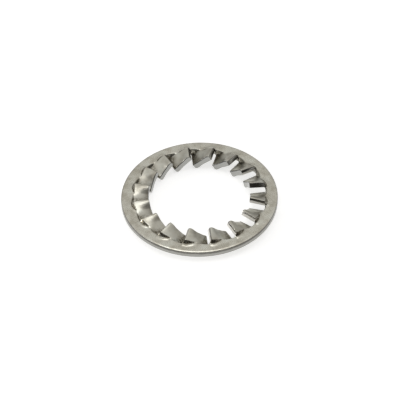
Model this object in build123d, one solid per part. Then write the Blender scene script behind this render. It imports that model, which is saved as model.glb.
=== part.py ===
from build123d import *

import math
import os

# Internal-tooth serrated lock washer for an M20 screw, punched and twisted from one piece of stainless
# strip.
#
# A flat ring carries sixteen teeth that point at the bore. Slots part the teeth, and a forming die has
# twisted each one about its radial centre line: seen from above, the clockwise flank stands up and the other
# one hangs down, so that the corners at the tips bite into the nut and into its seat.
#
# Millimetres. The origin is the centre of the bore, halfway through the ring, +Z points up and one tooth lies
# on +X. "Distance" is measured from the bore's axis along the centre line of a tooth, and "across" from that
# line.

# Widths from the bore outwards
HOLE_DIAMETER = 21.5  # the circle that the tips of the teeth lie on
TOOTH_LENGTH = 3.13  # from the tips to the roots of the slots
RIM_WIDTH = 2.62  # from the roots of the slots to the outside, at 33 mm

# Ring
THICKNESS = 1.4
ROLL_WIDTH = 0.6  # the punch has rolled the upper outer edge over, wider than it is deep
ROLL_DEPTH = 0.3
EDGE_BREAK = 0.1  # the lower outer edge, tumbled after punching

# Slots, as seen from above
TOOTH_COUNT = 16
SLOT_WIDTH = 0.7
SLOT_CORNER_RADIUS = 0.15

# Twist of a tooth. It bends at its foot, and the blade beyond the bend goes on twisting slowly.
BEND_LEAD = 0.45  # the bend starts this far outside the roots of the slots
BEND_LENGTH = 0.75
BEND_RISE = 1.08  # how far the middle of a flank stands above or below the ring at the end of the bend
TIP_RISE = 1.4  # the same at the tip
FLANK_THICKNESS = 1.06  # the die squeezes the blade thinner towards its flanks

# How finely the solids follow the round forms: strips lie across a tooth, and the rest along it
STRIPS = 6
CORNER_STEPS = 2
BEND_STEPS = 3
BLADE_STEPS = 3
ROLL_CONES = 3  # the rolled edge is a stack of narrow cones

hole_radius = HOLE_DIAMETER / 2
slot_root = hole_radius + TOOTH_LENGTH
outer_radius = slot_root + RIM_WIDTH
bend_start = slot_root + BEND_LEAD
bend_end = bend_start - BEND_LENGTH
corner_end = slot_root - SLOT_CORNER_RADIUS
half_thickness = THICKNESS / 2
crown = (THICKNESS - FLANK_THICKNESS) / 2  # how far the middle of the blade bulges on each face
pitch_angle = 2 * math.pi / TOOTH_COUNT


def spaced(start, end, steps):
    """Evenly spaced values from start to end, both included."""
    return [start + (end - start) * step / steps for step in range(steps + 1)]


def half_pitch(distance):
    """Half the room across that one tooth and one slot share."""
    return distance * math.tan(pitch_angle / 2)


def half_width(distance):
    """Half a tooth's width, seen from above, with a round corner where the flank meets the slot's root."""
    straight = half_pitch(distance) - SLOT_WIDTH / 2
    into_corner = min(max(distance - corner_end, 0), SLOT_CORNER_RADIUS)
    return straight + SLOT_CORNER_RADIUS - math.sqrt(SLOT_CORNER_RADIUS**2 - into_corner**2)


def bent(distance):
    """How far through the bend a distance lies: 0 in the flat ring, 1 in the blade, smooth at both."""
    share = min(max((bend_start - distance) / BEND_LENGTH, 0), 1)
    return share * share * (3 - 2 * share)


def slope(distance):
    """How much a tooth climbs for each millimetre across it, towards its raised flank."""
    tip_share = max((bend_end - distance) / (bend_end - hole_radius), 0)
    rise = BEND_RISE * bent(distance) + (TIP_RISE - BEND_RISE) * tip_share
    return rise / (half_pitch(distance) - SLOT_WIDTH / 2)


def tooth_lines(distance):
    """Top and bottom of a tooth's section, a crowned strip turned about its centre, as (across, height)."""
    half = half_width(distance)
    turn = math.atan(slope(distance))
    flank_thickness = THICKNESS + (FLANK_THICKNESS - THICKNESS) * bent(distance)
    lean = math.sin(turn) * flank_thickness / 2
    lift = math.cos(turn) * flank_thickness / 2
    top = []
    bottom = []
    for share in spaced(-1, 1, STRIPS):
        bulge = crown * bent(distance) * (1 - share**2)
        middle = -half * slope(distance) * share
        top.append((half * share + lean, middle + lift + bulge))
        bottom.append((half * share - lean, middle - lift - bulge))
    return top, bottom[::-1]


def placed(distance, corners):
    """Corners given as (across, height), on a plane that stands square to a tooth's centre line."""
    return [Vector(distance, across, height) for across, height in corners]


def facet(*corners):
    """A flat face between its corners."""
    return Face(Wire.make_polygon(corners))


def ring():
    """The flat ring with its rolled edge, around a hole whose flat sides meet the feet of the teeth."""
    roll_centre = (outer_radius - ROLL_WIDTH, half_thickness - ROLL_DEPTH)
    rolled_edge = [
        (roll_centre[0] + ROLL_WIDTH * math.sin(angle), roll_centre[1] + ROLL_DEPTH * math.cos(angle))
        for angle in spaced(0, math.pi / 2, ROLL_CONES)
    ]
    lower_edge = [(outer_radius, EDGE_BREAK - half_thickness), (outer_radius - EDGE_BREAK, -half_thickness)]
    profile = Polyline((0, half_thickness), *rolled_edge, *lower_edge, (0, -half_thickness), close=True)
    disc = revolve(Plane.XZ * make_face(profile), Axis.Z)
    turned = math.degrees(pitch_angle / 2)
    hole = RegularPolygon(bend_start, TOOTH_COUNT, major_radius=False, rotation=turned)
    return disc - extrude(hole, THICKNESS, both=True)


def web():
    """The ring at the foot of a tooth, dragged along by the twist, with half a slot's root at each side."""
    sections = []
    for distance in (bend_start, slot_root):
        edge = half_pitch(distance)
        top, bottom = tooth_lines(distance)
        corners = [(-edge, half_thickness), *top, (edge, half_thickness)]
        corners += [(edge, -half_thickness), *bottom, (-edge, -half_thickness)]
        sections.append(placed(distance, corners))
    outer, inner = sections
    # The skin between the two outlines is folded flat along its diagonals
    faces = [facet(*outer), facet(*inner)]
    for place in range(len(outer)):
        faces.append(facet(outer[place - 1], outer[place], inner[place - 1]))
        faces.append(facet(outer[place], inner[place], inner[place - 1]))
    return Solid(Shell(faces))


def blade():
    """The free part of a tooth, from the slot's root through the bend to the tip, which the bore trims."""
    quarter_turn = spaced(0, math.pi / 2, CORNER_STEPS)
    round_corner = [corner_end + SLOT_CORNER_RADIUS * math.cos(angle) for angle in quarter_turn]
    bend = spaced(corner_end, bend_end, BEND_STEPS)
    straight = spaced(bend_end, hole_radius, BLADE_STEPS)
    beyond_tip = hole_radius * math.cos(pitch_angle)
    distances = round_corner + bend[1:] + straight[1:] + [beyond_tip]
    sections = []
    for distance in distances:
        top, bottom = tooth_lines(distance)
        sections.append(Wire.make_polygon(placed(distance, top + bottom)))
    bore = Cylinder(hole_radius, 2 * (THICKNESS + TIP_RISE))
    return Solid.make_loft(sections, ruled=True) - bore


def lock_washer():
    """The whole washer: a ring of teeth and the flat ring around them, fused into one piece."""
    tooth = web() + blade()
    teeth = [tooth.rotate(Axis.Z, math.degrees(pitch_angle) * place) for place in range(TOOTH_COUNT)]
    return ring() + teeth


os.makedirs("parts", exist_ok=True)
export_step(lock_washer(), "parts/lock_washer.step")
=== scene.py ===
import math
import random

import bmesh
import bpy
from mathutils import Matrix, Vector


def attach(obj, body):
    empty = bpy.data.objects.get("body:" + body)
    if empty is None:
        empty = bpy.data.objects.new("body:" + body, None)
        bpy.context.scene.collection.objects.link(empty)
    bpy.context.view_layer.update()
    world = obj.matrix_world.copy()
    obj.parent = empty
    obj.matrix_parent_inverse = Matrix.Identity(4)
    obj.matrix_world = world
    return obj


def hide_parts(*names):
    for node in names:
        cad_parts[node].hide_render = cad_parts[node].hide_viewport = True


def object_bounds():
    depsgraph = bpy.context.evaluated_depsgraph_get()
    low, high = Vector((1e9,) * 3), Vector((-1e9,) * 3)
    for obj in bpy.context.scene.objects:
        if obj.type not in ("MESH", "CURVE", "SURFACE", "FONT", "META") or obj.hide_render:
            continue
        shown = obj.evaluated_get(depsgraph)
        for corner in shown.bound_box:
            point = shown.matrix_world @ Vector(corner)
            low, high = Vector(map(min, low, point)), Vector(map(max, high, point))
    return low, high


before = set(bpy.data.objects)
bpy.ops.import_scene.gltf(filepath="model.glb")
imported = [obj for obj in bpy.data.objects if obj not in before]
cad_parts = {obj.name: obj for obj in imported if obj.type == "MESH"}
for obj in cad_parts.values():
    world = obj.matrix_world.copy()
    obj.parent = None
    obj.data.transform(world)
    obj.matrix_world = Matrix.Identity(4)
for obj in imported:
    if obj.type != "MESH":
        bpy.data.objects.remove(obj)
cad_low, cad_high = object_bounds()

# The washer as it looks: the punched and twisted blank with its tumbled edges, and its finish.
# Lengths are in millimetres until a vertex is written. A tooth's own frame has the tooth on +X. "Distance"
# is measured from the bore's axis along it, "across" from its centre line, and a "share" runs across it from
# -1 at the raised flank to 1 at the lowered one.
MM = 0.001

# The ring and the slots have the solid's sizes, but for the rolled edge, which is a smooth curve here
TOOTH_COUNT = 16
HOLE_RADIUS = 10.75
SLOT_ROOT = 13.88
THICKNESS = 1.4
ROLL_RADIUS, ROLL_TURN = 0.73, 31  # the outer edge is rolled over gently up to this angle, in degrees
ROLL_CORNER = (0.08, 0.2)  # and then turns down to the wall, this wide and this deep
EDGE_BREAK = 0.1
SLOT_WIDTH = 0.7
SLOT_CORNER_RADIUS = 0.15

# The blade of a tooth, seen in its cross-section
FOOT_RISE = 1.08  # how far the middle of a flank stands above or below the ring where the blade begins
TIP_RISE = 1.35  # the same at the tip
BLADE_START = 13.45
FLANK_THICKNESS = 1.06
CROWN = 0.12  # how far the middle of a face bulges beyond the line between its two flanks, at the tip
FOLD = 0.28  # at the foot the face is folded along a crease instead, this far beyond that line
FOLD_FOOT, FOLD_TIP = 0.05, -0.5  # the crease runs from this share at the foot to this one at the tip
FOLD_SHARPNESS = 9
FULLNESS = 0.27  # how far the raised half bulges further still at the tip, short of its flank
FOOT_FULLNESS = 0.3  # how much of that is left at the foot
FULLNESS_SHARES = (-0.03, -0.61)  # it grows from the first share to the second
FOOT_DROP, TIP_DROP = 0.2, 0.9  # how much of it is lost again at the flank, at the foot and at the tip
DROP_SHARES = (-0.78, -1.0)
CURL = 0.15  # how far the edge of the lowered flank curls up at the tip
CURL_SHARES = (0.5, 0.9)
FRACTURE_LEAN = 0.2  # how much a torn cut leans in, as a share of its depth
BURNISHED = (0.3, 1.15)  # a cut is smooth down to a part of its depth in this range, and torn below that

# The ramps that lead from the ring to the blade: up to the raised half and down to the lowered one. A ramp
# starts further out away from the centre line, by as much as its bulge.
RAISED_START, RAISED_BULGE, RAISED_END = 13.95, 0.62, 13.62
LOWERED_START, LOWERED_BULGE, LOWERED_END = 13.95, 0.25, 13.72
BULGE_TURN = 2.4  # the bulge follows a sine, which has gone this far at the flank, in radians
RAMP_FOOT, RAMP_HEAD = 0.2, 0.45  # the parts of a ramp that bend into it and out of it

# Grid of the mesh, in steps
SIDE_STEPS = 4  # from the middle of a slot's root to the tooth
TOOTH_STEPS = 24  # across a tooth
DEPTH_STEPS = 5  # through the thickness
CORNER_STEPS = 4
FOOT_STEPS = 4
BLADE_STEPS = 11
ROLL_STEPS = 7
WALL_STEPS = 5
BREAK_STEPS = 3
TIP_ROUNDS = 8  # the cut of a tip is found step by step
RING_PARTS = (0, 0.045, 0.09, 0.135, 0.18, 0.225, 0.275, 0.33, 0.4, 0.52, 0.72, 1)

# The ring swells along the foot of a raised ramp, where the metal was dragged up
SWELL_LEAD, SWELL_REACH, SWELL_HEIGHT = 0.1, 0.36, 0.14
SWELL_SHARES = (0.1, -0.2)

# Painted shade, tinted brown, in the hollow beside a lowered flank and on the ramp up to a raised one, where
# these faces lie in shade and mirror the dim room
PAINTED_SHADE_FOOT, PAINTED_SHADE_TIP = 0.05, 0.55  # the shares where the painted shade begins, at a tooth's foot and at its tip
PAINTED_SHADE_EDGE = 0.5
PAINTED_SHADE_REACH = 0.45  # how far the painted shade goes on into the ring
RAMP_PAINTED_SHADE = 1.7  # above 1 it makes the gaps in the painted shade smaller
RAMP_PAINTED_SHADE_SHARE = -0.2  # the painted shade on the ramp is whole from here to the raised flank
PAINTED_SHADE_COLOUR = (0.14, 0.125, 0.092)

STRUCK = (14.18, 13.48)  # between these distances the ring's finish turns into that of the teeth

# No two strokes of the die and the punch are quite alike
TWIST_SEED = 41718
UNEVEN_TWIST = 0.14  # the most that a tooth's twist falls short, as a part of it
TEAR_LEVEL = 0.4  # where the depth that the cuts' materials read passes from smooth to torn
RIM_BURNISHED = 0.42  # the rim's wall is smooth, and painted dark, down to this part of its depth

# Rounding of the cut edges: the widest one, and how much of it each kind of edge gets
EDGE_WIDTH = 0.18
TIP_EDGE, FLANK_EDGE, BURR_EDGE, TIP_CORNER = 0.8, 0.6, 0.3, 0.4

TOP, BOTTOM, FLANK, ROOT, TIP, RIM = range(6)
SURFACES = (TOP, FLANK, ROOT, TIP, RIM)  # the order of the materials; the bottom shares the top's

half_thickness = THICKNESS / 2
roll_width = ROLL_CORNER[0] + ROLL_RADIUS * math.sin(math.radians(ROLL_TURN))
pitch = 2 * math.pi / TOOTH_COUNT
outer_radius = cad_high.x / MM
columns = 2 * SIDE_STEPS + TOOTH_STEPS
first_tooth_column = SIDE_STEPS
last_tooth_column = SIDE_STEPS + TOOTH_STEPS
ring_rows = len(RING_PARTS) - 1
tip_row = -(CORNER_STEPS + FOOT_STEPS + BLADE_STEPS)


def mix(start, end, part):
    return start + (end - start) * part


def smooth(part):
    part = min(max(part, 0.0), 1.0)
    return part * part * (3 - 2 * part)


def smooth_between(start, end, value):
    """From 0 at the start to 1 at the end, level at both and beyond them."""
    return smooth((value - start) / (end - start))


def climbed(part):
    """Progress up a ramp that is straight but for a soft bend at its foot and at its head."""
    part = min(max(part, 0.0), 1.0)
    steepest = 2 / (2 - RAMP_FOOT - RAMP_HEAD)
    if part < RAMP_FOOT:
        return steepest * part * part / (2 * RAMP_FOOT)
    if part > 1 - RAMP_HEAD:
        return 1 - steepest * (1 - part) * (1 - part) / (2 * RAMP_HEAD)
    return steepest * (part - RAMP_FOOT / 2)


def half_pitch(distance):
    return distance * math.tan(pitch / 2)


def half_width(distance):
    """Half a tooth's width, seen from above, with a round corner where the flank meets the slot's root."""
    straight = half_pitch(distance) - SLOT_WIDTH / 2
    into_corner = min(max(distance - SLOT_ROOT + SLOT_CORNER_RADIUS, 0), SLOT_CORNER_RADIUS)
    return straight + SLOT_CORNER_RADIUS - math.sqrt(SLOT_CORNER_RADIUS**2 - into_corner**2)


def towards_tip(distance):
    """How far along the blade a distance lies, from 0 at its foot and in the ring to 1 at the tip."""
    return max(BLADE_START - distance, 0) / (BLADE_START - HOLE_RADIUS)


def blade_rise(distance):
    """How far the middle of a flank stands above or below the ring."""
    return mix(FOOT_RISE, TIP_RISE, towards_tip(distance))


def blade_turn(distance, twist):
    """The angle that a tooth's cross-section is turned by."""
    half = half_pitch(min(distance, SLOT_ROOT)) - SLOT_WIDTH / 2
    return math.atan(blade_rise(distance) * twist / half)


def raised_start(share):
    """Distance where the ramp up to the raised half starts."""
    return RAISED_START + RAISED_BULGE * math.sin(BULGE_TURN * abs(share))


def lowered_start(share):
    """Distance where the ramp down to the lowered half starts."""
    return LOWERED_START + LOWERED_BULGE * math.sin(BULGE_TURN * abs(share))


def progress(distance, share):
    """How far the upper face has got from the ring to the blade."""
    if share < 0:
        start, end = raised_start(share), RAISED_END
    else:
        start, end = lowered_start(share), LOWERED_END
    return climbed((start - distance) / (start - end))


def folded(share, crease):
    """Height of a face that is folded along a crease, 0 at both flanks and nearly 1 at the crease."""
    raised = math.exp(-FOLD_SHARPNESS * (1 + share) / (1 + crease))
    lowered = math.exp(-FOLD_SHARPNESS * (1 - share) / (1 - crease))
    return -math.log(raised + lowered) / FOLD_SHARPNESS


def swell(distance, share):
    """Height of the swelling along the foot of a raised ramp."""
    crest = raised_start(share) + SWELL_LEAD
    away = min(abs(distance - crest) / SWELL_REACH, 1)
    return SWELL_HEIGHT * smooth(1 - away) * smooth_between(*SWELL_SHARES, share)


def share_of(column):
    """The share at which a column of a tooth stands."""
    return 2 * (column - first_tooth_column) / TOOTH_STEPS - 1


def torn(layer, burnished):
    """How far the torn part of a cut leans in at a layer."""
    return FRACTURE_LEAN * FLANK_THICKNESS * max(layer / DEPTH_STEPS - burnished, 0)


def upper_height(distance, share, twist):
    """Height of the upper face of a tooth and of the ring at its foot."""
    rise = blade_rise(distance) * twist
    base = FLANK_THICKNESS / 2 * math.cos(blade_turn(distance, twist))
    to_tip = towards_tip(distance)
    crown = CROWN * to_tip * (1 - share * share)
    fold = FOLD * (1 - to_tip) * folded(share, mix(FOLD_FOOT, FOLD_TIP, to_tip))
    fullness = FULLNESS * mix(FOOT_FULLNESS, 1, to_tip) * smooth_between(*FULLNESS_SHARES, share)
    fullness *= 1 - mix(FOOT_DROP, TIP_DROP, to_tip) * smooth_between(*DROP_SHARES, share)
    blade = base - rise * share + crown + fold + fullness
    return mix(half_thickness, blade, progress(distance, share)) + swell(distance, share)


class Washer:
    """The vertices of the washer, each made once and found again by its place in the grid.

    Row 0 runs along the roots of the slots, positive rows go out to the rim and negative rows to the tips.
    Layer 0 is the upper face and layer DEPTH_STEPS the lower one."""

    def __init__(self, seed):
        self.mesh = bmesh.new()
        self.group = self.mesh.faces.layers.int.new("group")
        self.depth = self.mesh.verts.layers.float.new("depth")
        # how much painted shade each vertex gets, in the hollows and on the ramps
        self.painted_shade = self.mesh.verts.layers.float.new("painted_shade")
        self.upper = self.mesh.verts.layers.float.new("upper")
        self.found = {}
        draw = random.Random(seed)
        self.twist = [1 - UNEVEN_TWIST * draw.random() ** 2 for _ in range(TOOTH_COUNT)]
        self.burnished = [mix(*BURNISHED, draw.random()) for _ in range(TOOTH_COUNT)]
        self.foot = self.foot_distances()

    def foot_distances(self):
        """Distances of the rows from the slot's root to where the blade begins."""
        corner = [
            SLOT_ROOT - SLOT_CORNER_RADIUS * (1 - math.cos(math.pi / 2 * step / CORNER_STEPS))
            for step in range(CORNER_STEPS + 1)
        ]
        foot = [mix(corner[-1], BLADE_START, step / FOOT_STEPS) for step in range(1, FOOT_STEPS + 1)]
        return corner + foot

    def twisted(self, place, distance, share, across, weight, layer):
        """A point of the twisted metal, in the tooth's frame: across and height.

        The lower face is the upper one turned half round the tooth's centre line."""
        twist = self.twist[place]
        curl = CURL * smooth_between(*CURL_SHARES, share) * towards_tip(distance)
        upper = mix(half_thickness, upper_height(distance, share, twist) + curl, weight)
        lower = -mix(half_thickness, upper_height(distance, -share, twist), weight)
        lean = FLANK_THICKNESS / 2 * math.sin(blade_turn(distance, twist)) * weight
        depth = layer / DEPTH_STEPS
        lean *= mix(progress(distance, share), -progress(distance, -share), depth)
        return across + lean, mix(upper, lower, depth)

    def tip_distance(self, place, share, layer):
        """Where the bore cuts a tooth, along its centre line."""
        distance = HOLE_RADIUS
        for _ in range(TIP_ROUNDS):
            flat = share * (half_width(distance) - torn(layer, self.burnished[place]))
            across, _ = self.twisted(place, distance, share, flat, 1, layer)
            distance = math.sqrt(HOLE_RADIUS**2 - across**2)
        return distance

    def point(self, place, column, row, layer):
        """A grid point in the tooth's frame."""
        if row < 0:
            share = share_of(column)
            steps = -row
            if steps < len(self.foot):
                distance = self.foot[steps]
            else:
                along = (steps - len(self.foot) + 1) / BLADE_STEPS
                distance = mix(BLADE_START, self.tip_distance(place, share, layer), along)
            flat = share * (half_width(distance) - torn(layer, self.burnished[place]))
            across, height = self.twisted(place, distance, share, flat, 1, layer)
            return distance, across, height
        at_root, share, weight = self.root_place(column)
        angle = math.atan2(at_root, SLOT_ROOT)
        inner = math.hypot(SLOT_ROOT, at_root)
        outer = outer_radius - (roll_width if layer == 0 else EDGE_BREAK)
        radius = mix(inner, outer, RING_PARTS[row])
        drawn_in = share * weight * torn(layer, self.burnished[place]) * (1 - RING_PARTS[row])
        lean, height = self.twisted(place, SLOT_ROOT + radius - inner, share, -drawn_in, weight, layer)
        return radius * math.cos(angle), radius * math.sin(angle) + lean, height

    def root_place(self, column):
        """Where a column stands across the slot's root, and how much of the twist it takes part in."""
        edge = half_pitch(SLOT_ROOT)
        half = half_width(SLOT_ROOT)
        if first_tooth_column <= column <= last_tooth_column:
            share = share_of(column)
            return half * share, share, 1.0
        steps = min(column, columns - column)
        side = -1 if column < first_tooth_column else 1
        return side * mix(edge, half, steps / SIDE_STEPS), side, smooth(steps / SIDE_STEPS)

    def painted_shading(self, column, distance, layer):
        """How much painted shade the upper or lower face gets, from 0 to 1."""
        share = share_of(column)
        if layer > 0:
            share = -share
        if share < 0:
            climb = progress(distance, share)
            on_ramp = smooth(5 * climb * (1 - climb))
            return RAMP_PAINTED_SHADE * on_ramp * smooth(share / RAMP_PAINTED_SHADE_SHARE)
        along = min((SLOT_ROOT - distance) / (SLOT_ROOT - HOLE_RADIUS), 1)
        if along < 0:
            reach = 1 - smooth((distance - SLOT_ROOT) / PAINTED_SHADE_REACH)
        else:
            reach = 1
        return reach * smooth((share - mix(PAINTED_SHADE_FOOT, PAINTED_SHADE_TIP, max(along, 0))) / PAINTED_SHADE_EDGE)

    def vertex(self, place, column, row, layer):
        if row >= 0 and column == columns:
            place, column = place + 1, 0
        key = (place % TOOTH_COUNT, column, row, layer)
        if key not in self.found:
            along, across, height = self.point(*key)
            turned = Matrix.Rotation(pitch * key[0], 3, "Z") @ Vector((along, across, height))
            self.found[key] = self.mesh.verts.new(turned * MM)
            self.found[key][self.depth] = layer / DEPTH_STEPS + TEAR_LEVEL - self.burnished[key[0]]
            self.found[key][self.painted_shade] = self.painted_shading(column, along, layer)
            self.found[key][self.upper] = 1 if layer == 0 else 0
        return self.found[key]

    def rim_vertex(self, place, column, step, profile):
        """A vertex of the outer edge, whose first and last ones belong to the two faces of the ring."""
        if step == 0:
            return self.vertex(place, column, ring_rows, 0)
        if step == len(profile) - 1:
            return self.vertex(place, column, ring_rows, DEPTH_STEPS)
        if column == columns:
            place, column = place + 1, 0
        key = (place % TOOTH_COUNT, column, "rim", step)
        if key not in self.found:
            radius, height = profile[step]
            at_root, _, _ = self.root_place(column)
            angle = pitch * key[0] + math.atan2(at_root, SLOT_ROOT)
            flat = Vector((radius * math.cos(angle), radius * math.sin(angle), height))
            self.found[key] = self.mesh.verts.new(flat * MM)
            self.found[key][self.depth] = (half_thickness - height) / THICKNESS + TEAR_LEVEL - RIM_BURNISHED
        return self.found[key]

    def face(self, group, corners):
        made = self.mesh.faces.new(corners)
        made[self.group] = group
        made.material_index = SURFACES.index(TOP if group == BOTTOM else group)
        made.smooth = True

    def sheet(self, place, layer, group):
        """The upper or lower face of one tooth and its share of the ring."""
        for column in range(columns):
            on_tooth = first_tooth_column <= column < last_tooth_column
            for row in range(tip_row if on_tooth else 0, ring_rows):
                corners = [
                    self.vertex(place, column, row, layer),
                    self.vertex(place, column, row + 1, layer),
                    self.vertex(place, column + 1, row + 1, layer),
                    self.vertex(place, column + 1, row, layer),
                ]
                self.face(group, corners if group == TOP else corners[::-1])

    def walls(self, place):
        """The cut faces of one tooth: flanks, tip, and the halves of the slots' roots beside it."""
        path = [(column, 0) for column in range(first_tooth_column + 1)]
        path += [(first_tooth_column, row) for row in range(-1, tip_row - 1, -1)]
        tip_start = len(path) - 1
        path += [(column, tip_row) for column in range(first_tooth_column + 1, last_tooth_column + 1)]
        tip_end = len(path) - 1
        path += [(last_tooth_column, row) for row in range(tip_row + 1, 1)]
        path += [(column, 0) for column in range(last_tooth_column + 1, columns + 1)]
        for step, (start, end) in enumerate(zip(path, path[1:])):
            if start[1] == 0 and end[1] == 0:
                group = ROOT
            elif tip_start <= step < tip_end:
                group = TIP
            else:
                group = FLANK
            for layer in range(DEPTH_STEPS):
                corners = [
                    self.vertex(place, *start, layer),
                    self.vertex(place, *end, layer),
                    self.vertex(place, *end, layer + 1),
                    self.vertex(place, *start, layer + 1),
                ]
                self.face(group, corners)

    def rim(self, place):
        """The rolled upper edge, the wall and the broken lower edge of the ring."""
        quarter = math.pi / 2
        roll_turn = math.radians(ROLL_TURN)
        roll_end = outer_radius - ROLL_CORNER[0]
        profile = []
        for step in range(ROLL_STEPS + 1):
            turn = roll_turn * step / ROLL_STEPS
            inwards = ROLL_RADIUS * (math.sin(roll_turn) - math.sin(turn))
            profile.append((roll_end - inwards, half_thickness - ROLL_RADIUS * (1 - math.cos(turn))))
        corner_top = profile[-1][1]
        for step in range(1, ROLL_STEPS + 1):
            turn = quarter * step / ROLL_STEPS
            drop = ROLL_CORNER[1] * (1 - math.cos(turn))
            profile.append((roll_end + ROLL_CORNER[0] * math.sin(turn), corner_top - drop))
        wall_top = corner_top - ROLL_CORNER[1]
        wall_foot = EDGE_BREAK - half_thickness
        profile += [
            (outer_radius, mix(wall_top, wall_foot, step / WALL_STEPS)) for step in range(1, WALL_STEPS + 1)
        ]
        profile += [
            (
                outer_radius - EDGE_BREAK * (1 - math.cos(quarter * step / BREAK_STEPS)),
                wall_foot - EDGE_BREAK * math.sin(quarter * step / BREAK_STEPS),
            )
            for step in range(1, BREAK_STEPS + 1)
        ]
        for column in range(columns):
            for step in range(len(profile) - 1):
                self.face(
                    TOP if step < ROLL_STEPS else RIM,
                    [
                        self.rim_vertex(place, column, step, profile),
                        self.rim_vertex(place, column, step + 1, profile),
                        self.rim_vertex(place, column + 1, step + 1, profile),
                        self.rim_vertex(place, column + 1, step, profile),
                    ],
                )

    def weigh_edges(self):
        """How much each cut edge is rounded."""
        weights = self.mesh.edges.layers.float.new("bevel_weight_edge")
        for edge in self.mesh.edges:
            groups = {face[self.group] for face in edge.link_faces}
            if len(groups) < 2 or RIM in groups:
                continue
            if groups == {FLANK, TIP}:
                edge[weights] = TIP_CORNER
            elif groups == {TOP, TIP}:
                edge[weights] = TIP_EDGE
            elif TOP in groups:
                edge[weights] = FLANK_EDGE
            elif BOTTOM in groups:
                edge[weights] = BURR_EDGE

    def build(self, name):
        for place in range(TOOTH_COUNT):
            self.sheet(place, 0, TOP)
            self.sheet(place, DEPTH_STEPS, BOTTOM)
            self.walls(place)
            self.rim(place)
        self.weigh_edges()
        mesh = bpy.data.meshes.new(name)
        self.mesh.to_mesh(mesh)
        self.mesh.free()
        washer = bpy.data.objects.new(name, mesh)
        bpy.context.scene.collection.objects.link(washer)
        return washer


def round_edges(washer):
    bevel = washer.modifiers.new("rounded_edges", "BEVEL")
    bevel.limit_method = "WEIGHT"
    bevel.width = EDGE_WIDTH * MM
    bevel.segments = 3
    bevel.use_clamp_overlap = False
    washer.modifiers.new("normals", "WEIGHTED_NORMAL")


def node(nodes, kind, inputs=None, **settings):
    made = nodes.new(kind)
    for key, value in settings.items():
        setattr(made, key, value)
    for key, value in (inputs or {}).items():
        made.inputs[key].default_value = value
    return made


def steel_base(name):
    """A material with its shader, and the position in millimetres for its textures."""
    material = bpy.data.materials.new(name)
    material.use_nodes = True
    tree = material.node_tree
    tree.nodes.clear()
    output = node(tree.nodes, "ShaderNodeOutputMaterial")
    shader = node(tree.nodes, "ShaderNodeBsdfPrincipled", {"Metallic": 1.0})
    tree.links.new(shader.outputs["BSDF"], output.inputs["Surface"])
    coordinates = node(tree.nodes, "ShaderNodeTexCoord")
    scaled = node(tree.nodes, "ShaderNodeVectorMath", {1: (1 / MM, 1 / MM, 1 / MM)}, operation="MULTIPLY")
    tree.links.new(coordinates.outputs["Object"], scaled.inputs[0])
    return material, tree, shader, scaled.outputs["Vector"]


def ramp(tree, source, stops):
    """A colour ramp with stops given as (position, colour)."""
    made = node(tree.nodes, "ShaderNodeValToRGB")
    elements = made.color_ramp.elements
    while len(elements) < len(stops):
        elements.new(0.5)
    for element, (position, colour) in zip(elements, stops):
        element.position = position
        element.color = (*colour, 1)
    tree.links.new(source, made.inputs["Fac"])
    return made.outputs["Color"]


def map_range(tree, source, limits, **settings):
    """From 0 at the first limit to 1 at the second."""
    made = node(tree.nodes, "ShaderNodeMapRange", {"From Min": limits[0], "From Max": limits[1]}, **settings)
    tree.links.new(source, made.inputs["Value"])
    return made.outputs["Result"]


def grey(value):
    return (value, value, value)


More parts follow.
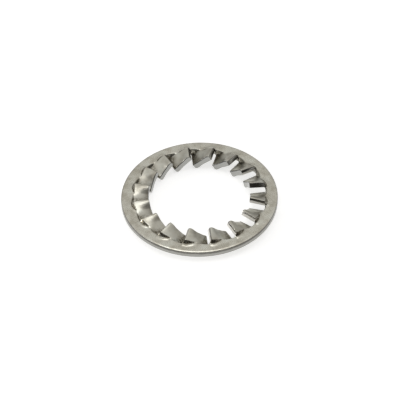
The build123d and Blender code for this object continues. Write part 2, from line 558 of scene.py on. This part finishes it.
def rolled_steel():
    """The faces of the strip: satin from tumbling, with a fine grain, faint clouds and patchy painted shade
    in the hollows and on the ramps.

    The teeth, which the die has struck, are a little rougher than the ring, and their colour is a little
    darker."""
    material, tree, shader, position = steel_base("satin_steel")
    # painted shade in the hollows and on the ramps, broken into patches and mixed into the colour
    painted_shade = node(tree.nodes, "ShaderNodeAttribute", attribute_name="painted_shade")
    clouds = node(tree.nodes, "ShaderNodeTexNoise", {"Scale": 0.5, "Detail": 3.0, "Roughness": 0.55})
    grain = node(tree.nodes, "ShaderNodeTexNoise", {"Scale": 7.0, "Detail": 5.0, "Roughness": 0.65})
    for texture in (clouds, grain):
        tree.links.new(position, texture.inputs["Vector"])
    tones = [(0.34, (0.47, 0.45, 0.385)), (0.5, (0.58, 0.565, 0.5)), (0.66, (0.635, 0.635, 0.575))]
    colour = ramp(tree, clouds.outputs["Fac"], tones)
    patches = node(tree.nodes, "ShaderNodeTexNoise", {"Scale": 2.8, "Detail": 3.0, "Roughness": 0.6})
    tree.links.new(position, patches.inputs["Vector"])
    uneven = ramp(tree, patches.outputs["Fac"], [(0.42, grey(0.25)), (0.54, grey(1))])
    patchy_painted_shade = node(tree.nodes, "ShaderNodeMath", operation="MULTIPLY", use_clamp=True)
    tree.links.new(painted_shade.outputs["Fac"], patchy_painted_shade.inputs[0])
    tree.links.new(uneven, patchy_painted_shade.inputs[1])
    painted_shading = node(tree.nodes, "ShaderNodeMixRGB", {"Color2": (*PAINTED_SHADE_COLOUR, 1)})
    tree.links.new(patchy_painted_shade.outputs["Value"], painted_shading.inputs["Fac"])
    tree.links.new(colour, painted_shading.inputs["Color1"])
    rough = ramp(tree, grain.outputs["Fac"], [(0.3, grey(0.24)), (0.7, grey(0.34))])
    level = node(tree.nodes, "ShaderNodeVectorMath", {1: (1, 1, 0)}, operation="MULTIPLY")
    tree.links.new(position, level.inputs[0])
    radius = node(tree.nodes, "ShaderNodeVectorMath", operation="LENGTH")
    tree.links.new(level.outputs["Vector"], radius.inputs[0])
    struck = map_range(tree, radius.outputs["Value"], STRUCK)
    rougher = node(tree.nodes, "ShaderNodeMath", {1: 0.05}, operation="MULTIPLY_ADD")
    tree.links.new(struck, rougher.inputs[0])
    tree.links.new(rough, rougher.inputs[2])
    tree.links.new(rougher.outputs["Value"], shader.inputs["Roughness"])
    duller = ramp(tree, struck, [(0, grey(1)), (1, grey(0.92))])
    dulled = node(tree.nodes, "ShaderNodeMixRGB", {"Fac": 1.0}, blend_type="MULTIPLY")
    tree.links.new(painted_shading.outputs["Color"], dulled.inputs["Color1"])
    tree.links.new(duller, dulled.inputs["Color2"])
    tree.links.new(dulled.outputs["Color"], shader.inputs["Base Color"])
    bump = node(tree.nodes, "ShaderNodeBump", {"Strength": 0.17, "Distance": 0.01 * MM})
    tree.links.new(grain.outputs["Fac"], bump.inputs["Height"])
    tree.links.new(bump.outputs["Normal"], shader.inputs["Normal"])
    return material


def sheared_steel(name, burnished, torn, scattering=0.0, upper_edge_painted_shade=1.0):
    """The cut faces: a burnished band under the upper edge, and torn, rougher metal below it.

    Torn metal can be made to scatter light rather than mirror it, and the upper edge can be darkened with
    painted shade."""
    material, tree, shader, position = steel_base(name)
    depth = node(tree.nodes, "ShaderNodeAttribute", attribute_name="depth")
    wander = node(tree.nodes, "ShaderNodeTexNoise", {"Scale": 1.2, "Detail": 2.0})
    tree.links.new(position, wander.inputs["Vector"])
    stretched = node(tree.nodes, "ShaderNodeVectorMath", {1: (1, 1, 0.15)}, operation="MULTIPLY")
    tree.links.new(position, stretched.inputs[0])
    streaks = node(tree.nodes, "ShaderNodeTexNoise", {"Scale": 9.0, "Detail": 4.0, "Roughness": 0.6})
    tree.links.new(stretched.outputs["Vector"], streaks.inputs["Vector"])
    shifted = node(tree.nodes, "ShaderNodeMath", {1: 0.25}, operation="MULTIPLY")
    tree.links.new(wander.outputs["Fac"], shifted.inputs[0])
    edge = node(tree.nodes, "ShaderNodeMath", operation="ADD")
    tree.links.new(depth.outputs["Fac"], edge.inputs[0])
    tree.links.new(shifted.outputs["Value"], edge.inputs[1])
    band = (TEAR_LEVEL + 0.09, TEAR_LEVEL + 0.17)
    colour = ramp(tree, edge.outputs["Value"], [(band[0], burnished), (band[1], torn)])
    # painted shade: a painted dark reflection along the rounded upper edge of a cut, 1 leaves it unchanged
    upper = node(tree.nodes, "ShaderNodeAttribute", attribute_name="upper")
    shade = ramp(tree, upper.outputs["Fac"], [(0.1, grey(1)), (0.6, grey(upper_edge_painted_shade))])
    shaded = node(tree.nodes, "ShaderNodeMixRGB", {"Fac": 1.0}, blend_type="MULTIPLY")
    tree.links.new(colour, shaded.inputs["Color1"])
    tree.links.new(shade, shaded.inputs["Color2"])
    tree.links.new(shaded.outputs["Color"], shader.inputs["Base Color"])
    rough = ramp(tree, edge.outputs["Value"], [(band[0], grey(0.19)), (band[1], grey(0.5))])
    tree.links.new(rough, shader.inputs["Roughness"])
    mirrored = ramp(tree, edge.outputs["Value"], [(band[0], grey(1)), (band[1], grey(1 - scattering))])
    tree.links.new(mirrored, shader.inputs["Metallic"])
    bump = node(tree.nodes, "ShaderNodeBump", {"Strength": 0.14, "Distance": 0.015 * MM})
    tree.links.new(streaks.outputs["Fac"], bump.inputs["Height"])
    tree.links.new(bump.outputs["Normal"], shader.inputs["Normal"])
    return material


# Studio, in metres. The camera stands towards -Y. A direction has a length of 1, so its height and its Y lie
# between -1 and 1.
FLOOR_SIZE = 2.0
FLOOR_COLOUR = (0.6, 0.6, 0.6, 1)
FLOOR_GLOW = 0.66  # added for the camera and for reflections only, so that they see a white floor
SOFTBOX_WIDTH, SOFTBOX_DEPTH = 0.34, 0.17
SOFTBOX_PLACE = (-0.055, 0.005, 0.45)
SOFTBOX_TURN = 20  # degrees
SOFTBOX_RADIANCE = 2.1
LAMP_WIDTH, LAMP_HEIGHT = 0.26, 0.12
LAMP_PLACE = (-0.45, -0.12, 0.13)
LAMP_RADIANCE = 9
HORIZON_LIGHT, BACKDROP_LIGHT = (0.33, 0.325, 0.315), (0.72, 0.71, 0.685)
BACKDROP_RISE = (0.1, 0.65)  # the heights between which the horizon's light turns into the backdrop's
ROOM_LOW, ROOM_HIGH = (0.05, 0.048, 0.045), (0.17, 0.164, 0.156)
ROOM_RISE = (0.3, 0.7)  # the heights between which the room gets lighter
ROOM_EDGE = (-0.32, -0.06)  # the Ys between which the room gives way to the backdrop


def floor():
    bpy.ops.mesh.primitive_plane_add(size=FLOOR_SIZE, location=(0, 0, cad_low.z))
    plane = bpy.context.object
    plane.name = "floor"
    material = bpy.data.materials.new("floor_white")
    material.use_nodes = True
    tree = material.node_tree
    tree.nodes.clear()
    output = node(tree.nodes, "ShaderNodeOutputMaterial")
    diffuse = node(tree.nodes, "ShaderNodeBsdfDiffuse", {"Color": FLOOR_COLOUR})
    glow = node(tree.nodes, "ShaderNodeEmission")
    path = node(tree.nodes, "ShaderNodeLightPath")
    seen = node(tree.nodes, "ShaderNodeMath", operation="MAXIMUM")
    tree.links.new(path.outputs["Is Camera Ray"], seen.inputs[0])
    tree.links.new(path.outputs["Is Glossy Ray"], seen.inputs[1])
    strength = node(tree.nodes, "ShaderNodeMath", {1: FLOOR_GLOW}, operation="MULTIPLY")
    tree.links.new(seen.outputs["Value"], strength.inputs[0])
    tree.links.new(strength.outputs["Value"], glow.inputs["Strength"])
    both = node(tree.nodes, "ShaderNodeAddShader")
    tree.links.new(diffuse.outputs["BSDF"], both.inputs[0])
    tree.links.new(glow.outputs["Emission"], both.inputs[1])
    tree.links.new(both.outputs["Shader"], output.inputs["Surface"])
    plane.data.materials.append(material)


def studio_world():
    """A pale backdrop behind the washer and a dim room on the camera's side."""
    world = bpy.data.worlds.new("studio")
    bpy.context.scene.world = world
    world.use_nodes = True
    tree = world.node_tree
    tree.nodes.clear()
    output = node(tree.nodes, "ShaderNodeOutputWorld")
    coordinates = node(tree.nodes, "ShaderNodeTexCoord")
    parts = node(tree.nodes, "ShaderNodeSeparateXYZ")
    tree.links.new(coordinates.outputs["Generated"], parts.inputs["Vector"])
    behind = map_range(tree, parts.outputs["Y"], ROOM_EDGE, interpolation_type="SMOOTHSTEP")
    above = map_range(tree, parts.outputs["Z"], BACKDROP_RISE)
    backdrop = ramp(tree, above, [(0, HORIZON_LIGHT), (1, BACKDROP_LIGHT)])
    higher = map_range(tree, parts.outputs["Z"], ROOM_RISE)
    room = ramp(tree, higher, [(0, ROOM_LOW), (1, ROOM_HIGH)])
    mixed = node(tree.nodes, "ShaderNodeMixRGB")
    tree.links.new(behind, mixed.inputs["Fac"])
    tree.links.new(room, mixed.inputs["Color1"])
    tree.links.new(backdrop, mixed.inputs["Color2"])
    lit = node(tree.nodes, "ShaderNodeBackground")
    tree.links.new(mixed.outputs["Color"], lit.inputs["Color"])
    white = node(tree.nodes, "ShaderNodeBackground", {"Color": (1, 1, 1, 1)})
    path = node(tree.nodes, "ShaderNodeLightPath")
    chosen = node(tree.nodes, "ShaderNodeMixShader")
    tree.links.new(path.outputs["Is Camera Ray"], chosen.inputs["Fac"])
    tree.links.new(lit.outputs["Background"], chosen.inputs[1])
    tree.links.new(white.outputs["Background"], chosen.inputs[2])
    tree.links.new(chosen.outputs["Shader"], output.inputs["Surface"])


def area_light(name, width, height, radiance, place):
    light = bpy.data.lights.new(name, "AREA")
    light.shape = "RECTANGLE"
    light.size, light.size_y = width, height
    light.energy = radiance * math.pi * width * height
    holder = bpy.data.objects.new(name, light)
    holder.location = place
    bpy.context.scene.collection.objects.link(holder)
    return holder


def lights():
    """A softbox overhead, and a low lamp on the left that reaches the torn flanks on the right."""
    box = area_light("softbox", SOFTBOX_WIDTH, SOFTBOX_DEPTH, SOFTBOX_RADIANCE, SOFTBOX_PLACE)
    box.rotation_euler.z = math.radians(SOFTBOX_TURN)
    lamp = area_light("low_lamp", LAMP_WIDTH, LAMP_HEIGHT, LAMP_RADIANCE, LAMP_PLACE)
    lamp.rotation_euler = Vector(LAMP_PLACE).to_track_quat("Z", "Y").to_euler()


# Camera
CAMERA_AZIMUTH, CAMERA_ELEVATION, CAMERA_ROLL = 4.24, 44.78, -1.58
CAMERA_DISTANCE = 0.2637
FOCAL_PIXELS = 1249.8
IMAGE_PIXELS = 400
ORIGIN_PIXEL = (199.43, 197.07)  # where the washer's centre falls in the frame


def camera():
    lens = bpy.data.cameras.new("camera")
    lens.lens = FOCAL_PIXELS / IMAGE_PIXELS * lens.sensor_width
    lens.shift_x = (IMAGE_PIXELS / 2 - ORIGIN_PIXEL[0]) / IMAGE_PIXELS
    lens.shift_y = (ORIGIN_PIXEL[1] - IMAGE_PIXELS / 2) / IMAGE_PIXELS
    lens.clip_start = 0.01
    azimuth, elevation = math.radians(CAMERA_AZIMUTH), math.radians(CAMERA_ELEVATION)
    facing = Matrix.Rotation(azimuth, 4, "Z") @ Matrix.Rotation(math.pi / 2 - elevation, 4, "X")
    rolled = facing @ Matrix.Rotation(math.radians(CAMERA_ROLL), 4, "Z")
    holder = bpy.data.objects.new("camera", lens)
    holder.matrix_world = rolled @ Matrix.Translation((0, 0, CAMERA_DISTANCE))
    bpy.context.scene.collection.objects.link(holder)
    bpy.context.scene.camera = holder


washer = Washer(TWIST_SEED).build("toothed_washer")
round_edges(washer)
for finish in (
    rolled_steel(),
    # The flanks' burnished band is painted dark, a painted dark reflection, and their torn part nearly
    # white, painted light that the low lamp adds to. The slots' roots are nearly black, painted shade in the
    # narrow crevices. The tips' upper edge carries a painted dark line. The rim's wall is painted dark at
    # its top, a painted dark line under the rolled edge's highlight, and darker below, partly its rough
    # finish and partly painted shade for the shadowed floor it mirrors.
    sheared_steel("cut_flanks", (0.27, 0.262, 0.24), (0.96, 0.94, 0.89), scattering=0.9),
    sheared_steel("cut_roots", (0.07, 0.06, 0.045), (0.16, 0.15, 0.13)),
    sheared_steel("cut_tips", (0.36, 0.36, 0.34), (0.42, 0.42, 0.4), upper_edge_painted_shade=0.2),
    sheared_steel("cut_rim", (0.16, 0.155, 0.14), (0.4, 0.395, 0.37)),
):
    washer.data.materials.append(finish)
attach(washer, "root")
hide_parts("lock_washer")

floor()
studio_world()
lights()
camera()
bpy.context.scene.view_settings.view_transform = "Standard"
